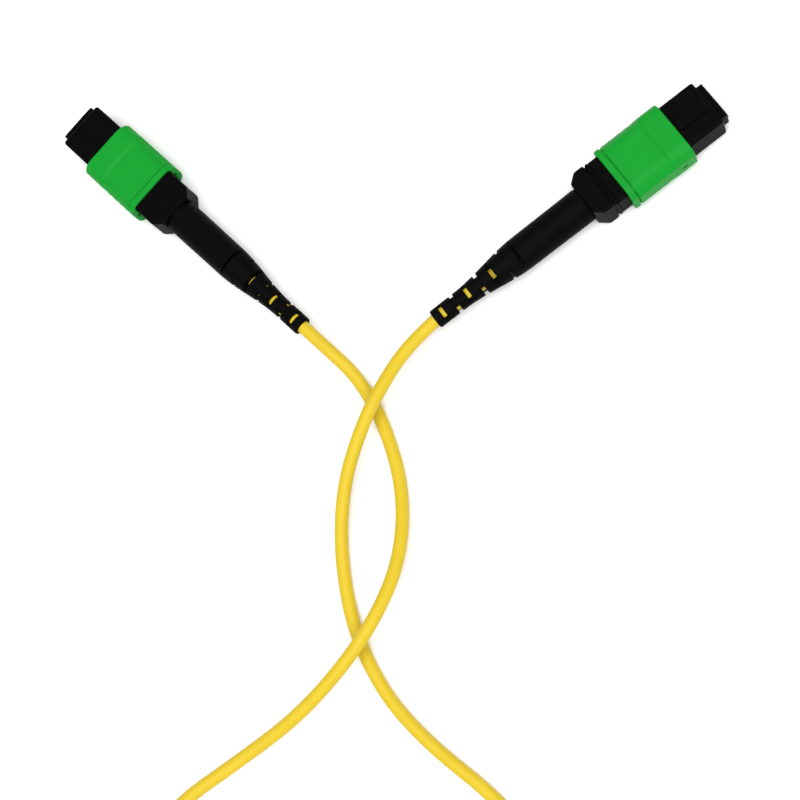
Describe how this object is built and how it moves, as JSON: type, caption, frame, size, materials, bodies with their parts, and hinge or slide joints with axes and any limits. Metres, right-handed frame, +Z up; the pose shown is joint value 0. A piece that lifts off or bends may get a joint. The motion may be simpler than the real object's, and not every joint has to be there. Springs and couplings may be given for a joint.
{
  "type": "mpo fibre patch cord",
  "caption": "Short yellow fibre patch cord with a black multi-fibre push-pull plug on each end, each with a green sliding sleeve and a slit strain relief boot.",
  "frame": {"origin": "on the floor, under the middle of the front band of plug A's coupling sleeve, which rests there", "axes": "+X along plug A towards its ferrule, +Z up out of the floor and towards plug A's key"},
  "size_m": [0.1863, 0.1987, 0.0076],
  "materials": {
    "sleeve_green": "satin moulded plastic, bright green",
    "housing_black": "satin moulded plastic, black",
    "body_black": "satin moulded plastic, black",
    "ferrule_grey": "glass-filled moulding with a polished end face",
    "keeper_black": "plain moulded plastic",
    "soft_sleeve": "soft dull rubber",
    "fibre_coat": "clear acrylate coating over glass fibre",
    "spring_steel": "bright drawn wire",
    "crimp_metal": "plated metal",
    "boot_black": "dull soft elastomer, black",
    "jacket_yellow": "soft low-gloss cable jacket, yellow"
  },
  "bodies": {
    "cord_set": {"plug_housing_a": "housing_black", "plug_housing_b": "housing_black", "back_body_a": "body_black", "back_body_b": "body_black", "crimp_ring_a": "crimp_metal", "crimp_ring_b": "crimp_metal", "strain_boot_a": "boot_black", "strain_boot_b": "boot_black", "jacket_end_a": "jacket_yellow", "jacket_end_b": "jacket_yellow", "main_spring_a": "spring_steel", "main_spring_b": "spring_steel", "sleeve_springs_a": "spring_steel", "sleeve_springs_b": "spring_steel", "free_cord": "jacket_yellow"},
    "sleeve_a": {"coupling_sleeve_a": "sleeve_green"},
    "ferrule_a": {"ferrule_a": "ferrule_grey", "pin_keeper_a": "keeper_black", "ferrule_boot_a": "soft_sleeve", "fibre_ribbon_a": "fibre_coat"},
    "sleeve_b": {"coupling_sleeve_b": "sleeve_green"},
    "ferrule_b": {"ferrule_b": "ferrule_grey", "pin_keeper_b": "keeper_black", "ferrule_boot_b": "soft_sleeve", "fibre_ribbon_b": "fibre_coat"}
  },
  "joints": [
    {"name": "sleeve_a_slide", "type": "slide", "parent": "cord_set", "child": "sleeve_a", "axis": [-1, 0, 0], "range_m": [0, 0.002], "stiffness_N_per_m": 300, "springref_m": -0.002, "deforming": ["sleeve_springs_a"]},
    {"name": "ferrule_a_float", "type": "slide", "parent": "cord_set", "child": "ferrule_a", "axis": [-1, 0, 0], "range_m": [0, 0.0008], "stiffness_N_per_m": 1500, "springref_m": -0.004, "deforming": ["main_spring_a"]},
    {"name": "sleeve_b_slide", "type": "slide", "parent": "cord_set", "child": "sleeve_b", "axis": [0.1908, -0.9816, 0], "range_m": [0, 0.002], "stiffness_N_per_m": 300, "springref_m": -0.002, "deforming": ["sleeve_springs_b"]},
    {"name": "ferrule_b_float", "type": "slide", "parent": "cord_set", "child": "ferrule_b", "axis": [0.1908, -0.9816, 0], "range_m": [0, 0.0008], "stiffness_N_per_m": 1500, "springref_m": -0.004, "deforming": ["main_spring_b"]}
  ]
}
